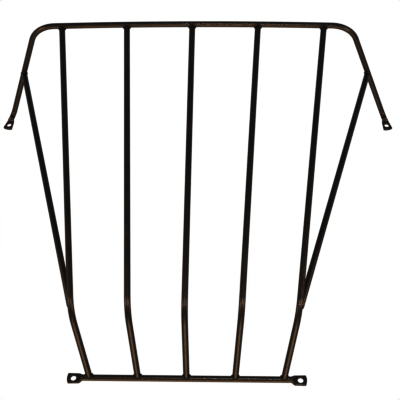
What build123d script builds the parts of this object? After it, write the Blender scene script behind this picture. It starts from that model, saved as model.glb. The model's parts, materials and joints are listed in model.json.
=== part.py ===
from build123d import *

import os
from math import cos, radians, sin, sqrt, tan

# Wall-mounted hay rack, welded from one size of round steel bar (millimetres).
# A splayed hoop stands off the wall, five bent bars hang from it and return to
# a rail on the wall, and a brace on each side ties an arm to an outer bar.
# The wall is the plane Y = 0 and the rack stands out of it towards -Y. The
# origin is midway between the two bolt holes of the bottom rail.

# Stock
rod_diameter = 10.0
wall_gap = 0.3  # between the round bar and the wall

# Top hoop, measured on the bar's centreline
hoop_height = 564.0  # above the bottom bolt holes
hoop_reach = 238.0  # wall to the corners
hoop_front_width = 558.0  # between the corners
hoop_bow = 8.0  # how far the front bar is pushed out at its middle
bow_share = 0.8  # share of the front bar that the bow curves
corner_radius = 50.0
top_hole_span = 741.0
top_hole_drop = 28.0  # below the centreline of the hoop
knee_share = 0.95  # share of the run between arm and tab that the knee bends

# Forged tabs that bolt to the wall
tab_thickness = 4.4
tab_width = 17.0
tab_end_rise = 1.6  # how far the tip stands past its corners
tab_corner_radius = 1.2
hole_diameter = 9.5
hole_to_tip = 10.2
hole_to_root = 8.2
neck_length = 7.0  # from round bar to flat tab
top_root_width = 12.8
bottom_root_width = 16.2
top_tab_lean = 12.0  # degrees outwards from upright

# Bottom rail
bottom_hole_span = 366.0

# Bars
bar_names = ["outer_left", "inner_left", "centre", "inner_right", "outer_right"]
bar_top_pitch = 115.6
bar_bend_pitch = 87.9
bar_bottom_pitch = 78.1
bend_height = 56.0
bend_reach = 125.0
bar_bend_radius = 50.0

# Side braces
brace_arm_share = 0.5  # where it meets the arm, from corner to knee
brace_foot_rise = 13.0  # foot above the bend of the outer bar
brace_foot_swing = 10.0  # degrees outwards from straight behind the outer bar
brace_foot_bite = 0.4  # how deep the foot is ground to seat on the bar

# Welds
saddle_depth = 2.8  # from the centreline of a bar to the end that butts on it
bead_on_bar = 1.7  # bead height on the bar that butts
bead_on_seat = 2.1  # bead height on the bar that it butts on

rod_radius = rod_diameter / 2
axis_y = -(rod_radius + wall_gap)
half_front = hoop_front_width / 2
top_tab_tilt = radians(top_tab_lean)
bow_turn = 2 * Vector(half_front, hoop_bow).get_angle(Vector(1, 0))
bow_radius = bow_share * half_front / tan(radians(bow_turn / 2))

os.makedirs("parts", exist_ok=True)


def finish(piece, label):
    """Name a finished piece and write it out."""
    piece.label = label
    export_step(piece, f"parts/{label}.step")
    return piece


def front_bar_y(x):
    """Y of the hoop's front centreline, an arc that runs out into two straights."""
    middle_y = -(hoop_reach + hoop_bow)
    if abs(x) > bow_radius * sin(radians(bow_turn / 2)):
        return middle_y + abs(x) * tan(radians(bow_turn / 2))
    return middle_y + bow_radius / cos(radians(bow_turn / 2)) - sqrt(bow_radius**2 - x**2)


def round_bar(path):
    """Sweep the stock along the path of the line builder that is passed in."""
    with BuildSketch(Plane(origin=path @ 0, z_dir=path % 0)) as section:
        Circle(rod_radius)
    sweep(section.sketch, path)


def wall_tab(neck, run, root_width):
    """Forge a flat drilled tab against the wall. The round bar stops at neck, heading along run."""
    root = neck + run * neck_length
    root_middle = Vector(root.X, -tab_thickness / 2, root.Z)
    across = run.cross(Vector(0, 1, 0))
    with BuildSketch(Plane(origin=neck, x_dir=across, z_dir=run)) as round_end:
        Circle(rod_radius)
    with BuildSketch(Plane(origin=root_middle, x_dir=across, z_dir=run)) as flat_end:
        RectangleRounded(root_width, tab_thickness, tab_corner_radius)
    loft([round_end.sketch, flat_end.sketch])
    tip = hole_to_root + hole_to_tip
    shoulder = tip - tab_end_rise
    with BuildSketch(Plane(origin=(root.X, 0, root.Z), x_dir=across, z_dir=(0, -1, 0))) as outline:
        with BuildLine():
            flanks = Polyline(
                (-tab_width / 2, -shoulder),
                (-root_width / 2, 0),
                (root_width / 2, 0),
                (tab_width / 2, -shoulder),
            )
            ThreePointArc(flanks @ 1, (0, -tip), flanks @ 0)
        make_face()
        fillet(outline.vertices().group_by(Axis.Y)[0], tab_corner_radius)
        with Locations((0, -hole_to_root)):
            Circle(hole_diameter / 2, mode=Mode.SUBTRACT)
    extrude(outline.sketch, amount=tab_thickness)


# Top hoop: tab, knee, arm, corner, bowed front and the same again
knee = Vector(top_hole_span / 2 - top_hole_drop * tan(top_tab_tilt), axis_y, hoop_height)
corner = Vector(half_front, -hoop_reach, hoop_height)
arm_run = (knee - corner).normalized()
tab_run = Vector(sin(top_tab_tilt), 0, -cos(top_tab_tilt))
knee_to_neck = top_hole_drop / cos(top_tab_tilt) - hole_to_root - neck_length
knee_radius = knee_share * knee_to_neck / tan(radians(arm_run.get_angle(tab_run) / 2))
top_neck = knee + tab_run * knee_to_neck

with BuildPart() as top_hoop:
    with BuildLine() as hoop_line:
        right_side = [corner, knee, top_neck]
        left_side = [Vector(-point.X, point.Y, point.Z) for point in reversed(right_side)]
        FilletPolyline(
            *left_side,
            (0, -(hoop_reach + hoop_bow), hoop_height),
            *right_side,
            radius=[knee_radius, corner_radius, bow_radius, corner_radius, knee_radius],
        )
    round_bar(hoop_line.wires()[0])
    for side in (-1, 1):
        side_neck = Vector(side * top_neck.X, axis_y, top_neck.Z)
        side_run = Vector(side * tab_run.X, 0, tab_run.Z)
        wall_tab(side_neck, side_run, top_root_width)
finish(top_hoop.part, "top_hoop")

# Bottom rail: straight along the wall, with a tab at each end
bottom_neck = Vector(bottom_hole_span / 2 - hole_to_root - neck_length, axis_y, 0)
with BuildPart() as bottom_rail:
    with BuildLine() as rail_line:
        Line((-bottom_neck.X, axis_y, 0), bottom_neck)
    round_bar(rail_line.wires()[0])
    for side in (-1, 1):
        wall_tab(Vector(side * bottom_neck.X, axis_y, 0), Vector(side, 0, 0), bottom_root_width)
finish(bottom_rail.part, "bottom_rail")


def weld_bead(label, joint, butting_run, seat_run, pieces):
    """Ring of weld where a bar that leaves the joint along butting_run seats on a bar along seat_run."""
    with BuildPart() as bead:
        with BuildSketch(Plane(origin=joint, z_dir=butting_run)):
            Circle(rod_radius + bead_on_bar)
        extrude(amount=2 * rod_diameter)
        with BuildSketch(Plane(origin=joint, z_dir=seat_run)):
            Circle(rod_radius + bead_on_seat)
        extrude(amount=2 * rod_diameter, both=True, mode=Mode.INTERSECT)
        for piece in pieces:
            add(piece, mode=Mode.SUBTRACT)
    finish(bead.part, label)


# Bars: butted under the hoop, bent once, and butted on the rail
for place, bar_name in enumerate(bar_names):
    step = place - (len(bar_names) - 1) / 2
    top = Vector(step * bar_top_pitch, front_bar_y(step * bar_top_pitch), hoop_height)
    bend = Vector(step * bar_bend_pitch, -bend_reach, bend_height)
    bottom = Vector(step * bar_bottom_pitch, axis_y, 0)
    hang_run = (bend - top).normalized()
    return_run = (bottom - bend).normalized()
    with BuildPart() as bar:
        with BuildLine() as bar_line:
            FilletPolyline(
                top + hang_run * saddle_depth,
                bend,
                bottom - return_run * saddle_depth,
                radius=bar_bend_radius,
            )
        round_bar(bar_line.wires()[0])
        add(top_hoop.part, mode=Mode.SUBTRACT)
        add(bottom_rail.part, mode=Mode.SUBTRACT)
    finish(bar.part, f"bar_{bar_name}")
    weld_bead(f"weld_top_{bar_name}", top, hang_run, Vector(1, 0, 0), [top_hoop.part, bar.part])
    weld_bead(f"weld_bottom_{bar_name}", bottom, -return_run, Vector(1, 0, 0), [bottom_rail.part, bar.part])

    # The outer bars carry the foot of a brace, behind and outside their upper run
    if abs(step) < (len(bar_names) - 1) / 2:
        continue
    side = 1 if step > 0 else -1
    side_name = "right" if step > 0 else "left"
    arm_point = corner + (knee - corner) * brace_arm_share
    arm_point = Vector(side * arm_point.X, arm_point.Y, arm_point.Z)
    seat = bend - hang_run * (brace_foot_rise / -hang_run.Z)
    behind = Vector(side * sin(radians(brace_foot_swing)), cos(radians(brace_foot_swing)), 0)
    foot = seat + behind * (rod_diameter - brace_foot_bite)
    drop_run = (foot - arm_point).normalized()
    with BuildPart() as brace:
        with BuildLine() as brace_line:
            Line(arm_point + drop_run * saddle_depth, foot)
        round_bar(brace_line.wires()[0])
        add(top_hoop.part, mode=Mode.SUBTRACT)
        add(bar.part, mode=Mode.SUBTRACT)
    finish(brace.part, f"brace_{side_name}")
    side_arm_run = Vector(side * arm_run.X, arm_run.Y, arm_run.Z)
    weld_bead(f"weld_arm_{side_name}", arm_point, drop_run, side_arm_run, [top_hoop.part, brace.part])
    with BuildPart() as foot_bead:
        with BuildSketch(Plane(origin=foot, z_dir=-drop_run)):
            Circle(rod_radius + bead_on_bar)
        extrude(amount=2 * rod_diameter)
        with BuildSketch(Plane(origin=seat, z_dir=hang_run)):
            Circle(rod_radius + bead_on_seat)
        extrude(amount=3 * rod_diameter, both=True, mode=Mode.INTERSECT)
        add(brace.part, mode=Mode.SUBTRACT)
        add(bar.part, mode=Mode.SUBTRACT)
    finish(foot_bead.part, f"weld_foot_{side_name}")
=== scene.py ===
import json
from itertools import count
from math import copysign, cos, pi, radians, sin, sqrt, tan

import bmesh
import bpy
from mathutils import Matrix, Vector
from mathutils.geometry import intersect_line_line


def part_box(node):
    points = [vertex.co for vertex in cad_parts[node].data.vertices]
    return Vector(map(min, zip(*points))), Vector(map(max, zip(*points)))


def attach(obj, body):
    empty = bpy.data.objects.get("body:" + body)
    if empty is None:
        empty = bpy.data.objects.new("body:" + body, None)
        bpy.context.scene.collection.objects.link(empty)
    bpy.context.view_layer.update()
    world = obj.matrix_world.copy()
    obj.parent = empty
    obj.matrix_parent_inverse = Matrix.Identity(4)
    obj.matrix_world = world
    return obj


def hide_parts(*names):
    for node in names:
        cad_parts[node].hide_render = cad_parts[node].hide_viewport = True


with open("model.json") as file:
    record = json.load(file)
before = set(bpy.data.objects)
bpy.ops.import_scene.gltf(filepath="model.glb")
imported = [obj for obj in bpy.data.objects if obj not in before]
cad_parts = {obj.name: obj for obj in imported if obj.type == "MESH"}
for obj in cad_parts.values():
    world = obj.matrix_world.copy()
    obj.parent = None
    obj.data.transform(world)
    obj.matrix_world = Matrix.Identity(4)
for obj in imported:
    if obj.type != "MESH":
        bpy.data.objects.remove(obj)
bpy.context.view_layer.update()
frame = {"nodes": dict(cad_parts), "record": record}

# A wall-mounted hay rack: a bowed hoop and a short rail with forged tabs, five bent bars between them, a
# brace on each side, and a weld bead at every joint. The wall is the plane Y = 0 and the rack stands out of
# it towards -Y. Lengths are in metres.

SIDES = {"left": -1, "right": 1}
BARS = ["outer_left", "inner_left", "centre", "inner_right", "outer_right"]
WALL = Vector((0, 1, 0))  # towards the wall
SIDEWAYS = Vector((1, 0, 0))


# ---- Sizes read from the frame -------------------------------------------------------


def box_size(node):
    """Width, depth and height of a CAD node."""
    low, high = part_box(node)
    return high - low


MOUNTS = {mount["name"]: mount for mount in frame["record"]["mounts"]}
ROD = box_size("bar_centre").x / 2  # radius of the round bar
HOOP_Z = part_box("top_hoop")[1].z - ROD
RAIL_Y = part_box("bottom_rail")[0].y + ROD
HOLE = MOUNTS["top_bolts"]["dims"]["hole_r_mm"] / 1000
TOP_HOLE = Vector((MOUNTS["top_bolts"]["dims"]["spacing_x_mm"] / 2000, 0, MOUNTS["top_bolts"]["pos_m"][2]))
BOTTOM_HOLE = Vector((MOUNTS["bottom_bolts"]["dims"]["spacing_x_mm"] / 2000, 0, 0))
TAB_WIDTH = box_size("bottom_rail").z

# ---- Sizes of the bent and forged shapes ---------------------------------------------

CORNER_RADIUS = 0.050
BOW_SHARE = 0.8  # share of the front bar that the bow curves
BEND_RADIUS = 0.050
KNEE_SHARE = 0.95  # share of the run between arm and tab that the knee bends
END_EASE = 0.0005  # rounding of a cut end

TAB_THICKNESS = 0.0044
TAB_TIP = 0.0102  # hole to tip
TAB_ROOT = 0.0082  # hole to the narrow end of the tab
TAB_END_RISE = 0.0016  # how far the tip stands past its corners
NECK = 0.0070  # from round bar to flat tab
TAB_REACH = NECK + TAB_ROOT + TAB_TIP  # from round bar to tip
TAB_SHOULDER = TAB_REACH - TAB_END_RISE
TOP_ROOT_WIDTH = 0.0128
BOTTOM_ROOT_WIDTH = 0.0162
TAB_SQUARENESS = 8.0  # exponent of the tab's section, where 2 is an ellipse
TAB_CORNER_EASE = 0.0012
TAB_EDGE_DROP = 0.3  # share of the thickness that the hammered edge loses
TIP_END = 0.00003  # what is left of the tab's reach at its last ring
HOLE_EASE = 0.0005  # rounding of the rim that the punch leaves
PUNCH_PROUD = 0.002  # how far the punch stands out of the tab
PUNCH_SKIM = 0.000001  # keeps the punch's rim off the faces of the tab

# ---- Sizes of the weld beads ---------------------------------------------------------

BEAD_RADIUS = 0.0011
BEAD_LIFT = 0.0004  # how far the middle of the bead stands off the bars
BEAD_SWELL = 0.5  # how much fuller the bead is in the corner between the bars
BEAD_PITCH = 0.0014  # from ripple to ripple
BEAD_RIPPLE = 0.06
BEAD_WANDER = 0.0008
BEAD_UNEVENNESS = 350.0  # noise scale of the welder's hand
FOOT_BEAD = 0.0045  # how far the weld runs up beside the foot of a brace
FOOT_BEAD_DIP = 0.5  # how far it dips below the foot, as a share of its half width

# ---- Fineness of the meshes ----------------------------------------------------------

RING = 48  # points round a bar
STEP = 0.0035  # length of one step along a bent stretch
ARC_STEPS = 6  # the fewest steps in one bend
BEND_STEPS = 24
RAIL_STEPS = 24
NECK_RINGS = 14
TAB_RINGS = 12
TIP_RINGS = 20
HOLE_POINTS = 64
RIM_STEPS = 4
SEAM_POINTS = 72
GROOVE_STEPS = 12
BEAD_SIDES = 18
BEAD_STEPS = 8  # points per ripple
EASE_STEPS = 3
EASE_ANGLE = radians(60)
EDGE_ANGLE = radians(42)  # edges sharper than this stay crisp
SAME_POINT = 1e-7

# ---- Finish --------------------------------------------------------------------------

COAT_SLOT = "black_powder_coat"
BEAD_SLOT = "coated_weld_bead"
DRIFT_SIZE = 0.035  # of the patches where the coat is thin or thick
COVER_STOPS = (0.35, 0.68)
CLOUD_SIZE = 0.006  # of the patches where it is duller
CLOUD_SPAN = (0.3, 0.7)
GRIT_SIZE = 0.004  # between specks of grit in it
GRIT_WIDTH = 0.25
GRIT_HEIGHT = 0.35
COAT_IOR = 1.5

# ---- Stage ---------------------------------------------------------------------------

ROOM_TINT = (0.89, 0.96, 1.0)
ROOM_LIGHT = 0.77
GLOW_FROM = Vector((0, 0.26, -0.97))
GLOW_TINT = (1.0, 0.65, 0.36)
GLOW_LIGHT = 10.0
GLOW_TIGHTNESS = 10.0  # exponent of its fall-off to the sides
FLOOR_RADIUS = 4.0
FLOOR_Z = -1.05
FLOOR_COLOUR = (0.90, 0.89, 0.875)
FLOOR_MOTTLE = 1.5
FLOOR_SHADES = (0.975, 1.0)
RACK_MIDDLE = (0, -0.12, 0.25)


# ---- Centrelines, measured on the CAD solids -----------------------------------------


def cut_middle(node, axis, value, side=0):
    """Middle of the section that the plane axis = value cuts through a CAD bar, on one side of X = 0."""
    body = bmesh.new()
    body.from_mesh(frame["nodes"][node].data)
    normal = Vector([float(axis == name) for name in "xyz"])
    everything = body.verts[:] + body.edges[:] + body.faces[:]
    cut = bmesh.ops.bisect_plane(body, geom=everything, plane_co=normal * value, plane_no=normal)["geom_cut"]
    points = [v.co.copy() for v in cut if isinstance(v, bmesh.types.BMVert) and v.co.x * side >= 0]
    body.free()
    low = Vector([min(p[k] for p in points) for k in range(3)])
    high = Vector([max(p[k] for p in points) for k in range(3)])
    return (low + high) / 2


def along(start, toward, axis, value):
    """Point on the line through two points where one coordinate has a given value."""
    k = "xyz".index(axis)
    return start.lerp(toward, (value - start[k]) / (toward[k] - start[k]))


def crossing(a, b, c, d):
    """Point where two centrelines meet."""
    near, far = intersect_line_line(a, b, c, d)
    return (near + far) / 2


def upright_cuts(node):
    """Two points on the straight upper run of a bar or a brace."""
    return [cut_middle(node, "z", HOOP_Z * share) for share in (0.8, 0.3)]


def bar_corners(node):
    """Top, bend and bottom of a bar's centreline."""
    upper = upright_cuts(node)
    quarter_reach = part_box(node)[0].y / 4
    lower = [cut_middle(node, "y", quarter_reach * share) for share in (1.0, 0.5)]
    bend = crossing(*upper, *lower)
    return [along(*upper, "z", HOOP_Z), bend, along(*lower, "y", RAIL_Y)]


def brace_ends(node):
    """Top and foot of a brace's centreline."""
    cuts = upright_cuts(node)
    run = (cuts[1] - cuts[0]).normalized()
    foot_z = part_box(node)[0].z + ROD * sqrt(1 - run.z**2)
    return [along(*cuts, "z", HOOP_Z), along(*cuts, "z", foot_z)]


def hoop_corners():
    """Middle of the front, corner, knee and neck of the hoop's right side, with the run of its tab."""
    # The cuts lie on the straight part of the arm, and on the front between the bow and the corner
    arm = [cut_middle("top_hoop", "y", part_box("top_hoop")[0].y * share, 1) for share in (0.6, 0.2)]
    front = [cut_middle("top_hoop", "x", TOP_HOLE.x * share) for share in (0.607, 0.655)]
    knee = along(*arm, "y", RAIL_Y)
    flat_knee = Vector((knee.x, 0, knee.z))
    run = (TOP_HOLE - flat_knee).normalized()
    neck = knee + run * ((TOP_HOLE - flat_knee).length - TAB_ROOT - NECK)
    return along(*front, "x", 0), crossing(*arm, *front), knee, neck, run


# ---- Paths and skins -----------------------------------------------------------------


def mirrored(point):
    """The same point on the other side of X = 0."""
    return Vector((-point.x, point.y, point.z))


def arc_points(before, corner, after, radius):
    """Points of the arc that rounds a corner between two straight runs."""
    into, out = (corner - before).normalized(), (after - corner).normalized()
    turn = into.angle(out)
    start = corner - into * radius * tan(turn / 2)
    inwards = (out - into * out.dot(into)).normalized()
    steps = max(ARC_STEPS, round(radius * turn / STEP))
    angles = [turn * i / steps for i in range(steps + 1)]
    return [start + into * radius * sin(a) + inwards * radius * (1 - cos(a)) for a in angles]


def rounded_path(points, radii):
    """Centreline that follows the points, with each corner between them rounded."""
    path = [points[0]]
    for before, corner, after, radius in zip(points, points[1:], points[2:], radii):
        path += arc_points(before, corner, after, radius)
    return path + [points[-1]]


def section(middle, across, thick, half_width, half_thick, squareness):
    """One ring of a bar: a circle at squareness 2, and closer to a rectangle as it grows."""
    ring = []
    for i in range(RING):
        a = 2 * pi * i / RING
        u = copysign(abs(cos(a)) ** (2 / squareness), cos(a)) * half_width
        v = copysign(abs(sin(a)) ** (2 / squareness), sin(a)) * half_thick
        ring.append(middle + across * u + thick * v)
    return ring


def skin(name, rings):
    """Closed skin over a row of rings."""
    mesh = bpy.data.meshes.new(name)
    points = [p for ring in rings for p in ring]
    sides, last = len(rings[0]), len(rings) - 1
    faces = []
    for k in range(last):
        for i in range(sides):
            j = (i + 1) % sides
            faces.append((k * sides + i, k * sides + j, (k + 1) * sides + j, (k + 1) * sides + i))
    faces.append(tuple(range(sides))[::-1])
    faces.append(tuple(range(last * sides, len(points))))
    mesh.from_pydata(points, [], faces)
    body = bmesh.new()
    body.from_mesh(mesh)
    bmesh.ops.recalc_face_normals(body, faces=body.faces)
    body.to_mesh(mesh)
    body.free()
    piece = bpy.data.objects.new(name, mesh)
    bpy.context.scene.collection.objects.link(piece)
    return piece


def settle(piece):
    """Replace a piece's modifiers by the mesh that they make."""
    graph = bpy.context.evaluated_depsgraph_get()
    mesh = bpy.data.meshes.new_from_object(piece.evaluated_get(graph))
    piece.modifiers.clear()
    piece.data = mesh


def smooth_faces(piece):
    """Shade a piece smooth, but keep its sharp edges."""
    body = bmesh.new()
    body.from_mesh(piece.data)
    for face in body.faces:
        face.smooth = True
    for edge in body.edges:
        edge.smooth = edge.calc_face_angle(0.0) < EDGE_ANGLE
    body.to_mesh(piece.data)
    body.free()


# ---- Forged bars: the hoop and the rail ----------------------------------------------


def tab_places():
    """Distances from the neck to each ring of a forged end."""
    neck = [NECK * i / NECK_RINGS for i in range(1, NECK_RINGS + 1)]
    flat_length = TAB_SHOULDER - TAB_END_RISE - NECK
    flat = [NECK + flat_length * i / TAB_RINGS for i in range(1, TAB_RINGS + 1)]
    tip = [TAB_REACH - 2 * TAB_END_RISE * (1 - sin(pi / 2 * i / TIP_RINGS)) for i in range(1, TIP_RINGS + 1)]
    return neck + flat + tip


def tab_half_width(place, left, root_width):
    """Half the width of a tab at a place, where its flanks widen and its tip is an arc with eased corners."""
    half_width = TAB_WIDTH / 2
    widening = min(1.0, max(0.0, (place - NECK) / (TAB_SHOULDER - NECK)))
    flank = root_width / 2 + (half_width - root_width / 2) * widening
    tip_radius = (half_width**2 + TAB_END_RISE**2) / (2 * TAB_END_RISE)
    in_tip = left < 2 * TAB_END_RISE
    arc = sqrt(max(0.0, 2 * tip_radius * left - left**2)) if in_tip else 2 * half_width
    ease = max(TAB_CORNER_EASE - abs(flank - arc), 0.0) / TAB_CORNER_EASE
    return min(flank, arc) - ease**2 * TAB_CORNER_EASE / 4


def tab_rings(neck, run, across, root_width):
    """Rings of a forged end, from the round neck to the tip of the flat tab."""
    half_thick = TAB_THICKNESS / 2
    rings = []
    for place in tab_places():
        left = max(TAB_REACH - place, TIP_END)
        flat = min(1.0, place / NECK)
        forged = flat * flat * (3 - 2 * flat)
        width = ROD + (tab_half_width(place, left, root_width) - ROD) * forged
        thin = 1 - TAB_EDGE_DROP * (1 - min(1.0, left / (TAB_EDGE_DROP * half_thick))) ** 2
        height = ROD + (half_thick * thin - ROD) * forged
        middle = Vector((neck.x, neck.y + (-half_thick - neck.y) * forged, neck.z)) + run * place
        rings.append(section(middle, across, WALL, width, height, 2 + (TAB_SQUARENESS - 2) * forged))
    return rings


def path_rings(path, across):
    """Round rings along a path. They start from the direction across and turn with the path."""
    rings = []
    for k, middle in enumerate(path):
        run = (path[min(k + 1, len(path) - 1)] - path[max(k - 1, 0)]).normalized()
        across = (across - run * across.dot(run)).normalized()
        rings.append(section(middle, across, run.cross(across), ROD, ROD, 2))
    return rings


def punch_profile():
    """Radius and Y of the punch's outline, which rounds the rim of the hole on both faces of the tab."""
    back = [(HOLE, -TAB_THICKNESS / 2)]
    for i in range(RIM_STEPS + 1):
        a = pi / 2 * i / RIM_STEPS
        back.append((HOLE + HOLE_EASE * (1 - cos(a)), -HOLE_EASE * (1 - sin(a)) - PUNCH_SKIM))
    front = [(radius, -TAB_THICKNESS - y) for radius, y in back[1:]]
    wide = HOLE + 2 * HOLE_EASE
    return [(wide, -TAB_THICKNESS - PUNCH_PROUD)] + front[::-1] + back + [(wide, PUNCH_PROUD)]


def punch(piece, centres):
    """Drill eased bolt holes through a forged bar, along Y."""
    turns = [2 * pi * i / HOLE_POINTS for i in range(HOLE_POINTS)]
    for centre in centres:
        rings = []
        for radius, y in punch_profile():
            rings.append([Vector((centre.x + radius * cos(a), y, centre.z + radius * sin(a))) for a in turns])
        cutter = skin("punch", rings)
        cut = piece.modifiers.new("hole", "BOOLEAN")
        cut.operation = "DIFFERENCE"
        cut.solver = "EXACT"
        cut.object = cutter
        settle(piece)
        bpy.data.objects.remove(cutter)


def forged_bar(name, path, run, root_width, hole):
    """Bar that follows the path from its right neck to its left, with a forged, drilled tab at each end."""
    right = tab_rings(path[0], run, run.cross(WALL), root_width)
    left = tab_rings(path[-1], mirrored(run), WALL.cross(mirrored(run)), root_width)
    piece = skin(name, right[::-1] + path_rings(path, run.cross(WALL)) + left)
    punch(piece, [hole, mirrored(hole)])
    piece.data.materials.clear()
    piece.data.materials.append(powder_coat)
    smooth_faces(piece)
    return piece


# ---- Bars and beads swept by Geometry Nodes ------------------------------------------


def wire(name, points, **marks):
    """Object of bare edges along the points, closed where its ends meet, with named numbers at its points."""
    closed = (points[0] - points[-1]).length < SAME_POINT
    row = points[:-1] if closed else points
    edges = [(i, i + 1) for i in range(len(row) - 1)]
    if closed:
        edges.append((len(row) - 1, 0))
    mesh = bpy.data.meshes.new(name)
    mesh.from_pydata(row, edges, [])
    for mark, values in marks.items():
        mesh.attributes.new(mark, "FLOAT", "POINT").data.foreach_set("value", values)
    piece = bpy.data.objects.new(name, mesh)
    bpy.context.scene.collection.objects.link(piece)
    return piece


def node_maker(tree):
    """Function that adds a node to the tree. Sockets are linked or set by name or place."""

    def add(kind, sockets=None, **settings):
        node = tree.nodes.new(kind)
        for key, value in settings.items():
            setattr(node, key, value)
        for key, value in (sockets or {}).items():
            if isinstance(value, bpy.types.NodeSocket):
                tree.links.new(value, node.inputs[key])
            else:
                node.inputs[key].default_value = value
        return node

    return add


def new_tree(name, inputs):
    """Geometry tree with named inputs, and the function that adds its nodes."""
    tree = bpy.data.node_groups.new(name, "GeometryNodeTree")
    tree.interface.new_socket("Geometry", in_out="INPUT", socket_type="NodeSocketGeometry")
    for label, kind in inputs.items():
        tree.interface.new_socket(label, in_out="INPUT", socket_type=f"NodeSocket{kind}")
    tree.interface.new_socket("Geometry", in_out="OUTPUT", socket_type="NodeSocketGeometry")
    return tree, node_maker(tree)


def finish_tree(tree, add, start, swept):
    """End a tree: smooth, realized, and with its material set."""
    smooth = add("GeometryNodeSetShadeSmooth", {"Geometry": swept})
    real = add("GeometryNodeRealizeInstances", {"Geometry": smooth.outputs[0]})
    coated = add("GeometryNodeSetMaterial", {"Geometry": real.outputs[0], "Material": start.outputs["Coat"]})
    add("NodeGroupOutput", {"Geometry": coated.outputs[0]})
    return tree


def bent_bar_tree():
    """Round bar swept along a wire, with each corner of the wire bent to a radius."""
    inputs = {"Bar Radius": "Float", "Bend Radius": "Float", "Bend Steps": "Int"}
    inputs |= {"Sides": "Int", "Coat": "Material"}
    tree, add = new_tree("bent_round_bar", inputs)
    start = add("NodeGroupInput")
    line = add("GeometryNodeMeshToCurve", {"Mesh": start.outputs["Geometry"]})
    bends = {"Count": start.outputs["Bend Steps"], "Radius": start.outputs["Bend Radius"]}
    bent = add("GeometryNodeFilletCurve", {"Curve": line.outputs[0]} | bends, mode="POLY")
    stock = add(
        "GeometryNodeCurvePrimitiveCircle",
        {"Resolution": start.outputs["Sides"], "Radius": start.outputs["Bar Radius"]},
    )
    swept = add(
        "GeometryNodeCurveToMesh",
        {"Curve": bent.outputs[0], "Profile Curve": stock.outputs[0], "Fill Caps": True},
    )
    return finish_tree(tree, add, start, swept.outputs[0])


def weld_tree():
    """Rippled bead swept along a wire. The wire's swell sets how full the bead is at each point."""
    inputs = {"Bead Radius": "Float", "Ripple Pitch": "Float", "Ripple Depth": "Float"}
    inputs |= {"Wander": "Float", "Seed": "Float", "Sides": "Int", "Coat": "Material"}
    tree, add = new_tree("weld_bead", inputs)
    start = add("NodeGroupInput")

    def work_out(operation, *values):
        return add("ShaderNodeMath", dict(enumerate(values)), operation=operation).outputs[0]

    line = add("GeometryNodeMeshToCurve", {"Mesh": start.outputs["Geometry"]})
    step = work_out("DIVIDE", start.outputs["Ripple Pitch"], float(BEAD_STEPS))
    even = add("GeometryNodeResampleCurve", {"Curve": line.outputs[0], "Length": step}, mode="LENGTH")

    # The welder's hand: the bead's line wanders a little
    place = add("GeometryNodeInputPosition")
    uneven = add(
        "ShaderNodeTexNoise",
        {"Vector": place.outputs[0], "W": start.outputs["Seed"], "Scale": BEAD_UNEVENNESS, "Detail": 1.0},
        noise_dimensions="4D",
    )
    halves = (0.5, 0.5, 0.5)
    centred = add("ShaderNodeVectorMath", {0: uneven.outputs["Color"], 1: halves}, operation="SUBTRACT")
    wander = start.outputs["Wander"]
    drift = add("ShaderNodeVectorMath", {0: centred.outputs[0], "Scale": wander}, operation="SCALE")
    moved = add("GeometryNodeSetPosition", {"Geometry": even.outputs[0], "Offset": drift.outputs[0]})

    # A whole number of ripples goes round the joint
    length = add("GeometryNodeSplineLength").outputs["Length"]
    ripples = work_out("ROUND", work_out("DIVIDE", length, start.outputs["Ripple Pitch"]))
    phase = work_out("MULTIPLY", add("GeometryNodeSplineParameter").outputs["Factor"], ripples)
    wave = work_out("SINE", work_out("MULTIPLY", phase, 2 * pi))
    ripple = work_out("MULTIPLY_ADD", wave, start.outputs["Ripple Depth"], 1.0)
    swell = add("GeometryNodeInputNamedAttribute", {"Name": "swell"}, data_type="FLOAT").outputs[0]
    section_circle = add(
        "GeometryNodeCurvePrimitiveCircle",
        {"Resolution": start.outputs["Sides"], "Radius": start.outputs["Bead Radius"]},
    )
    swept = add(
        "GeometryNodeCurveToMesh",
        {
            "Curve": moved.outputs[0],
            "Profile Curve": section_circle.outputs[0],
            "Scale": work_out("MULTIPLY", swell, ripple),
            "Fill Caps": True,
        },
    )
    return finish_tree(tree, add, start, swept.outputs[0])


def sweep(piece, tree, values, eased_ends=0.0):
    """Run a tree on a piece and keep the result as its plain mesh."""
    nodes = piece.modifiers.new("sweep", "NODES")
    nodes.node_group = tree
    for item in tree.interface.items_tree:
        if item.in_out == "INPUT" and item.name in values:
            nodes[item.identifier] = values[item.name]
    if eased_ends:
        ease = piece.modifiers.new("eased_ends", "BEVEL")
        ease.width, ease.segments, ease.angle_limit = eased_ends, EASE_STEPS, EASE_ANGLE
    settle(piece)
    smooth_faces(piece)


# ---- Lines that the welds follow -----------------------------------------------------


def seam(joint, butting_run, seat_run):
    """Closed line where a bar that leaves a joint meets the bar that it butts on, and its swell."""
    bar_gap, seat_gap = ROD + BEAD_LIFT, ROD + 2 * BEAD_LIFT
    slant = butting_run.dot(seat_run)
    along_seat = (seat_run - butting_run * slant).normalized()
    across = butting_run.cross(along_seat)
    points, swell = [], []
    for i in range(SEAM_POINTS):
        turn = 2 * pi * i / SEAM_POINTS
        out = (along_seat * cos(turn) + across * sin(turn)) * bar_gap
        # The height at which the point is seat_gap from the seat's centreline
        a, b = 1 - slant**2, -slant * out.dot(seat_run)
        c = bar_gap**2 - out.dot(seat_run) ** 2 - seat_gap**2
        height = (-b + sqrt(b * b - a * c)) / a
        points.append(joint + out + butting_run * height)
        swell.append(1 + BEAD_SWELL * cos(turn) ** 2)
    return points + points[:1], swell


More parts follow.
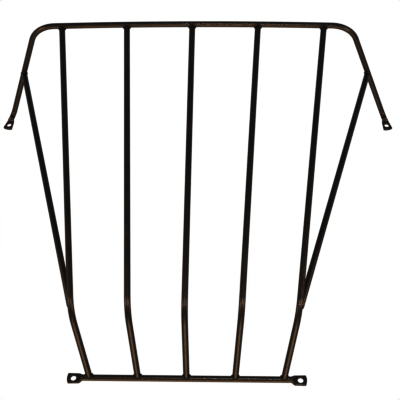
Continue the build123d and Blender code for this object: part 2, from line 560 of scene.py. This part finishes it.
def groove(bar_line, brace_line):
    """Closed line round the foot of a brace, in the groove between it and the bar, and its swell."""
    (bar_top, bar_bend), (brace_top, foot) = bar_line, brace_line
    bar_run, brace_run = (bar_bend - bar_top).normalized(), (foot - brace_top).normalized()
    bar_point = bar_top + bar_run * (foot - bar_top).dot(bar_run)
    up = -(bar_run + brace_run).normalized()
    gap = ROD + BEAD_LIFT

    def beside(lift, side, drop=0.0):
        """Point on the bar's centreline at a lift above the foot, and the point of the groove beside it."""
        a = bar_point + bar_run * (lift / bar_run.dot(up))
        apart = (foot + brace_run * (lift / brace_run.dot(up)) - a) / 2
        outward = sqrt(max(gap**2 - apart.length_squared, 0.0))
        return a, a + apart + apart.cross(up).normalized() * outward * side - up * outward * drop

    rise = [FOOT_BEAD * sin(pi / 2 * i / GROOVE_STEPS) for i in range(GROOVE_STEPS + 1)]
    points = [beside(lift, 1)[1] for lift in rise[::-1]]
    for i in range(1, GROOVE_STEPS):
        turn = pi * i / GROOVE_STEPS
        axis_point, low = beside(0.0, cos(turn), FOOT_BEAD_DIP * sin(turn))
        spoke = low - axis_point - bar_run * (low - axis_point).dot(bar_run)
        points.append(low + spoke.normalized() * (gap - spoke.length))
    points += [beside(lift, -1)[1] for lift in rise[:-1]]
    return points + points[:1], [1.0] * len(points)


# ---- Finishes ------------------------------------------------------------------------


def coat(name, thin, thick, gloss, peel, depth):
    """Powder coat. It varies from thin to thick in colour, and in roughness within gloss.

    peel is the size of its orange peel in metres, and depth how deep that is.
    """
    material = bpy.data.materials.new(name)
    material.use_nodes = True
    tree = material.node_tree
    tree.nodes.clear()
    add = node_maker(tree)
    place = add("ShaderNodeTexCoord").outputs["Object"]

    def noise(size, detail, roughness):
        sockets = {"Vector": place, "Scale": 1 / size, "Detail": detail, "Roughness": roughness}
        return add("ShaderNodeTexNoise", sockets).outputs["Fac"]

    def spread(value, from_low, from_high, to_low, to_high):
        sockets = {"From Min": from_low, "From Max": from_high, "To Min": to_low, "To Max": to_high}
        return add("ShaderNodeMapRange", {"Value": value} | sockets).outputs[0]

    cover = add("ShaderNodeValToRGB", {"Fac": noise(DRIFT_SIZE, 4.0, 0.6)})
    for stop, position, colour in zip(cover.color_ramp.elements, COVER_STOPS, (thin, thick)):
        stop.position, stop.color = position, (*colour, 1)
    sheen = spread(noise(CLOUD_SIZE, 5.0, 0.65), *CLOUD_SPAN, *gloss)
    grit = add("ShaderNodeTexVoronoi", {"Vector": place, "Scale": 1 / GRIT_SIZE, "Randomness": 1.0})
    speck = spread(grit.outputs["Distance"], 0.0, GRIT_WIDTH, GRIT_HEIGHT, 0.0)
    relief = add("ShaderNodeMath", {0: noise(peel, 2.0, 0.45), 1: speck}, operation="ADD")
    bump = add("ShaderNodeBump", {"Height": relief.outputs[0], "Strength": 1.0, "Distance": depth})

    surface = add(
        "ShaderNodeBsdfPrincipled",
        {
            "Base Color": cover.outputs["Color"],
            "Roughness": sheen,
            "Normal": bump.outputs[0],
            "IOR": COAT_IOR,
            "Specular IOR Level": 0.5,
        },
    )
    add("ShaderNodeOutputMaterial", {"Surface": surface.outputs[0]})
    return material


powder_coat = coat(
    COAT_SLOT,
    thin=(0.0200, 0.0170, 0.0140),
    thick=(0.0110, 0.0102, 0.0095),
    gloss=(0.30, 0.42),
    peel=0.0011,
    depth=0.00008,
)
bead_coat = coat(
    BEAD_SLOT,
    thin=(0.0220, 0.0185, 0.0150),
    thick=(0.0120, 0.0110, 0.0100),
    gloss=(0.38, 0.52),
    peel=0.0006,
    depth=0.00010,
)


# ---- The rack: hoop and rail ---------------------------------------------------------


def fit(piece, node):
    """Show a finished piece in place of a CAD node."""
    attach(piece, "root")
    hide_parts(node)


front_middle, corner, knee, hoop_neck, tab_run = hoop_corners()
arm_run = (knee - corner).normalized()
front_run = (corner - front_middle).normalized()
bow_turn = 2 * front_run.angle(SIDEWAYS)
bow_radius = BOW_SHARE * corner.x / tan(bow_turn / 2)
knee_radius = KNEE_SHARE * (hoop_neck - knee).length / tan(arm_run.angle(tab_run) / 2)

hoop_points = [hoop_neck, knee, corner, front_middle, mirrored(corner), mirrored(knee), mirrored(hoop_neck)]
hoop_radii = [knee_radius, CORNER_RADIUS, bow_radius, CORNER_RADIUS, knee_radius]
hoop = forged_bar("bowed_hoop", rounded_path(hoop_points, hoop_radii), tab_run, TOP_ROOT_WIDTH, TOP_HOLE)
fit(hoop, "top_hoop")

rail_neck = Vector((BOTTOM_HOLE.x - TAB_ROOT - NECK, RAIL_Y, 0))
rail_path = [rail_neck.lerp(mirrored(rail_neck), i / RAIL_STEPS) for i in range(RAIL_STEPS + 1)]
rail = forged_bar("wall_rail", rail_path, SIDEWAYS, BOTTOM_ROOT_WIDTH, BOTTOM_HOLE)
fit(rail, "bottom_rail")


# ---- The rack: bars, braces and beads ------------------------------------------------

bar_tree, bead_tree = bent_bar_tree(), weld_tree()
bar_sizes = {
    "Bar Radius": ROD,
    "Bend Radius": BEND_RADIUS,
    "Bend Steps": BEND_STEPS,
    "Sides": RING,
    "Coat": powder_coat,
}
bead_sizes = {
    "Bead Radius": BEAD_RADIUS,
    "Ripple Pitch": BEAD_PITCH,
    "Ripple Depth": BEAD_RIPPLE,
    "Wander": BEAD_WANDER,
    "Sides": BEAD_SIDES,
    "Coat": bead_coat,
}
bead_seeds = count(1)


def hang_bar(name, points, node):
    """Make one bar along its corner points."""
    bar = wire(name, points)
    sweep(bar, bar_tree, bar_sizes, END_EASE)
    fit(bar, node)


def lay_bead(name, line, node):
    """Make one weld bead along a seam or a groove."""
    points, swell = line
    bead = wire(name, points, swell=swell)
    sweep(bead, bead_tree, bead_sizes | {"Seed": float(next(bead_seeds))})
    fit(bead, node)


def front_run_at(x):
    """Direction of the hoop's front bar at an X, which turns along the bow and is straight past it."""
    bowed = min(abs(x) / (bow_radius * sin(bow_turn / 2)), 1.0)
    return Vector((1, copysign(1, x) * bowed * front_run.y / front_run.x, 0)).normalized()


bar_points = {name: bar_corners(f"bar_{name}") for name in BARS}
for name, (top, bend, bottom) in bar_points.items():
    hang_bar(f"hay_bar_{name}", [top, bend, bottom], f"bar_{name}")
    top_seam = seam(top, (bend - top).normalized(), front_run_at(top.x))
    lay_bead(f"bead_top_{name}", top_seam, f"weld_top_{name}")
    bottom_seam = seam(bottom, (bend - bottom).normalized(), SIDEWAYS)
    lay_bead(f"bead_bottom_{name}", bottom_seam, f"weld_bottom_{name}")

for side_name in SIDES:
    top, foot = brace_ends(f"brace_{side_name}")
    hang_bar(f"side_brace_{side_name}", [top, foot], f"brace_{side_name}")
    side_arm_run = arm_run if side_name == "right" else mirrored(arm_run)
    arm_seam = seam(top, (foot - top).normalized(), side_arm_run)
    lay_bead(f"bead_arm_{side_name}", arm_seam, f"weld_arm_{side_name}")
    foot_groove = groove(bar_points[f"outer_{side_name}"][:2], (top, foot))
    lay_bead(f"bead_foot_{side_name}", foot_groove, f"weld_foot_{side_name}")


# ---- Stage, light and camera ---------------------------------------------------------


def floor_paint(name):
    """Pale paint with a faint mottle, which glows evenly as a lit studio floor does."""
    material = bpy.data.materials.new(name)
    material.use_nodes = True
    tree = material.node_tree
    tree.nodes.clear()
    add = node_maker(tree)
    place = add("ShaderNodeTexCoord").outputs["Object"]
    mottle = add("ShaderNodeTexNoise", {"Vector": place, "Scale": FLOOR_MOTTLE})
    tone = add("ShaderNodeValToRGB", {"Fac": mottle.outputs["Fac"]})
    for stop, shade in zip(tone.color_ramp.elements, FLOOR_SHADES):
        stop.color = (*(channel * shade for channel in FLOOR_COLOUR), 1)
    glow = add("ShaderNodeEmission", {"Color": tone.outputs[0], "Strength": 1.0})
    add("ShaderNodeOutputMaterial", {"Surface": glow.outputs[0]})
    return material


def pale_floor():
    """Pale floor well below the rack, which neither lights nor shades it."""
    mesh = bpy.data.meshes.new("floor")
    body = bmesh.new()
    bmesh.ops.create_circle(body, cap_ends=True, segments=96, radius=FLOOR_RADIUS)
    body.to_mesh(mesh)
    body.free()
    mesh.transform(Matrix.Translation((0, 0, FLOOR_Z)))
    mesh.materials.append(floor_paint("pale_floor"))
    floor = bpy.data.objects.new("floor", mesh)
    floor.visible_diffuse = floor.visible_glossy = floor.visible_shadow = False
    bpy.context.scene.collection.objects.link(floor)


def studio():
    """White surroundings, which light the rack with a dim even light and a warm glow from below."""
    world = bpy.data.worlds.new("white_studio")
    world.use_nodes = True
    tree = world.node_tree
    tree.nodes.clear()
    add = node_maker(tree)
    toward = add("ShaderNodeTexCoord").outputs["Generated"]
    facing = add("ShaderNodeVectorMath", {0: toward, 1: GLOW_FROM.normalized()}, operation="DOT_PRODUCT")
    below = add("ShaderNodeMath", {0: facing.outputs["Value"], 1: 0.0}, operation="MAXIMUM")
    spread = add("ShaderNodeMath", {0: below.outputs[0], 1: GLOW_TIGHTNESS}, operation="POWER")
    power = add("ShaderNodeMath", {0: spread.outputs[0], 1: GLOW_LIGHT}, operation="MULTIPLY")
    glow = add("ShaderNodeBackground", {"Color": (*GLOW_TINT, 1), "Strength": power.outputs[0]})
    dim = add("ShaderNodeBackground", {"Color": (*ROOM_TINT, 1), "Strength": ROOM_LIGHT})
    lit = add("ShaderNodeAddShader", {0: dim.outputs[0], 1: glow.outputs[0]})
    white = add("ShaderNodeBackground", {"Color": (1, 1, 1, 1), "Strength": 1.0})
    seen = add("ShaderNodeLightPath").outputs["Is Camera Ray"]
    mixed = add("ShaderNodeMixShader", {0: seen, 1: lit.outputs[0], 2: white.outputs[0]})
    add("ShaderNodeOutputWorld", {"Surface": mixed.outputs[0]})
    bpy.context.scene.world = world
    bpy.context.scene.view_settings.view_transform = "Raw"


def soft_light(name, place, size, power, tint):
    """Round soft light that shines from a place towards the middle of the rack."""
    lamp = bpy.data.lights.new(name, "AREA")
    lamp.shape, lamp.size, lamp.energy, lamp.color = "DISK", size, power, tint
    holder = bpy.data.objects.new(name, lamp)
    holder.location = place
    holder.rotation_euler = (Vector(place) - Vector(RACK_MIDDLE)).to_track_quat("Z", "Y").to_euler()
    holder.visible_camera = False
    bpy.context.scene.collection.objects.link(holder)


def look_from(place, yaw, pitch, roll, lens, shift):
    """Camera at a place, turned from +Y by yaw, raised by pitch and rolled about its own line of sight."""
    forward = Vector((sin(yaw) * cos(pitch), cos(yaw) * cos(pitch), sin(pitch)))
    level = Vector((cos(yaw), -sin(yaw), 0))
    upright = level.cross(forward)
    right = level * cos(roll) + upright * sin(roll)
    up = upright * cos(roll) - level * sin(roll)
    camera = bpy.data.cameras.new("camera")
    camera.sensor_width, camera.lens = 36, lens
    camera.shift_x, camera.shift_y = shift
    camera.clip_start, camera.clip_end = 0.05, 50
    holder = bpy.data.objects.new("camera", camera)
    turn = Matrix((right, up, -forward)).transposed().to_4x4()
    holder.matrix_world = Matrix.Translation(place) @ turn
    bpy.context.scene.collection.objects.link(holder)
    bpy.context.scene.camera = holder


studio()
pale_floor()
soft_light("front_light", place=(0.08, -1.35, -0.29), size=0.30, power=14.0, tint=(1.0, 0.85, 0.74))
for side_name, side in SIDES.items():
    side_place = (side * 1.30, -0.75, -0.12)
    soft_light(f"{side_name}_light", side_place, size=0.35, power=18.0, tint=(1.0, 0.66, 0.44))
look_from(
    place=(0.08159, -1.32989, -0.59915),
    yaw=-0.0388,
    pitch=0.6233,
    roll=0.0266,
    lens=79.93,
    shift=(-0.025, 0.0),
)
